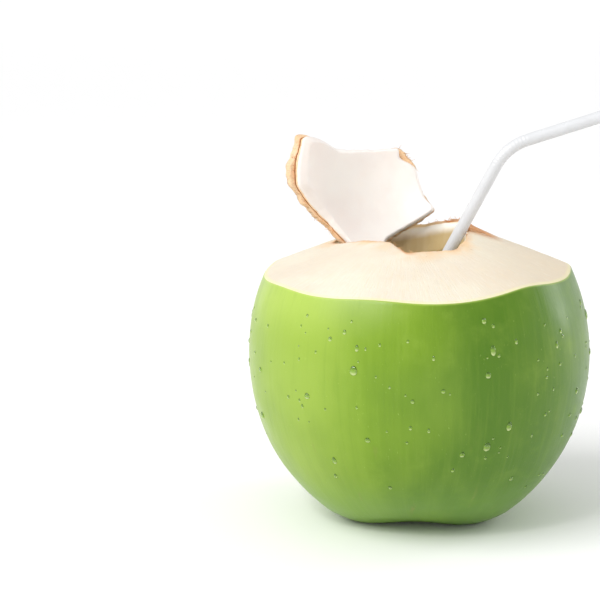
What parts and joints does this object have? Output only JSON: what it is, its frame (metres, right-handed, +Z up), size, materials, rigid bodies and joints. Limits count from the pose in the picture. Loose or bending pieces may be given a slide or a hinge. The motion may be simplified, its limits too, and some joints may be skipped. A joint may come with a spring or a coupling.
{
  "type": "peeled coconut",
  "caption": "Young green coconut with its top trimmed to pale husk and chopped open, the chopped-off piece standing in the mouth and a white flexible straw.",
  "frame": {"origin": "middle of the flat spot the nut stands on", "axes": "+Z up through the mouth, -Y towards the side the hollow of the chopped-off piece faces, +X the way the straw leans"},
  "size_m": [0.1822, 0.168, 0.2036],
  "materials": {
    "coconut_skin": "satin",
    "coconut_meat": "matte",
    "straw_plastic": "satin"
  },
  "bodies": {
    "root": {"coconut": "coconut_skin", "shell_lid": "coconut_meat", "straw": "straw_plastic"}
  },
  "joints": []
}
